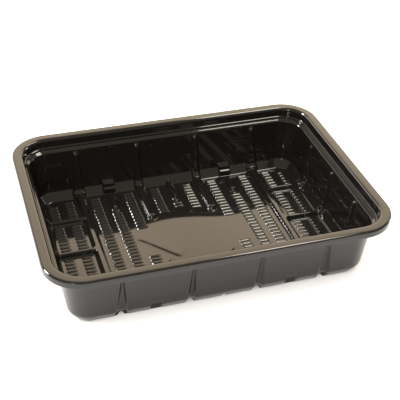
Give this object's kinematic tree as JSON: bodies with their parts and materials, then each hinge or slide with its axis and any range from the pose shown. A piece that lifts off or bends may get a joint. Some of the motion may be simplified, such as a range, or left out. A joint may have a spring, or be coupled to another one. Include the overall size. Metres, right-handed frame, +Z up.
{
  "type": "meal tray",
  "caption": "Empty rectangular sealable meal tray: rounded flange rim, stepped ledge, ribbed walls and a ridged floor with raised bars.",
  "frame": {"origin": "on the ground, under the middle of the tray", "axes": "+X along the length, +Y across the width, +Z up out of the open top"},
  "size_m": [0.187, 0.137, 0.0389],
  "materials": {
    "tray_plastic": "glossy black thermoformed sheet"
  },
  "bodies": {
    "root": {"tray": "tray_plastic"}
  },
  "joints": []
}
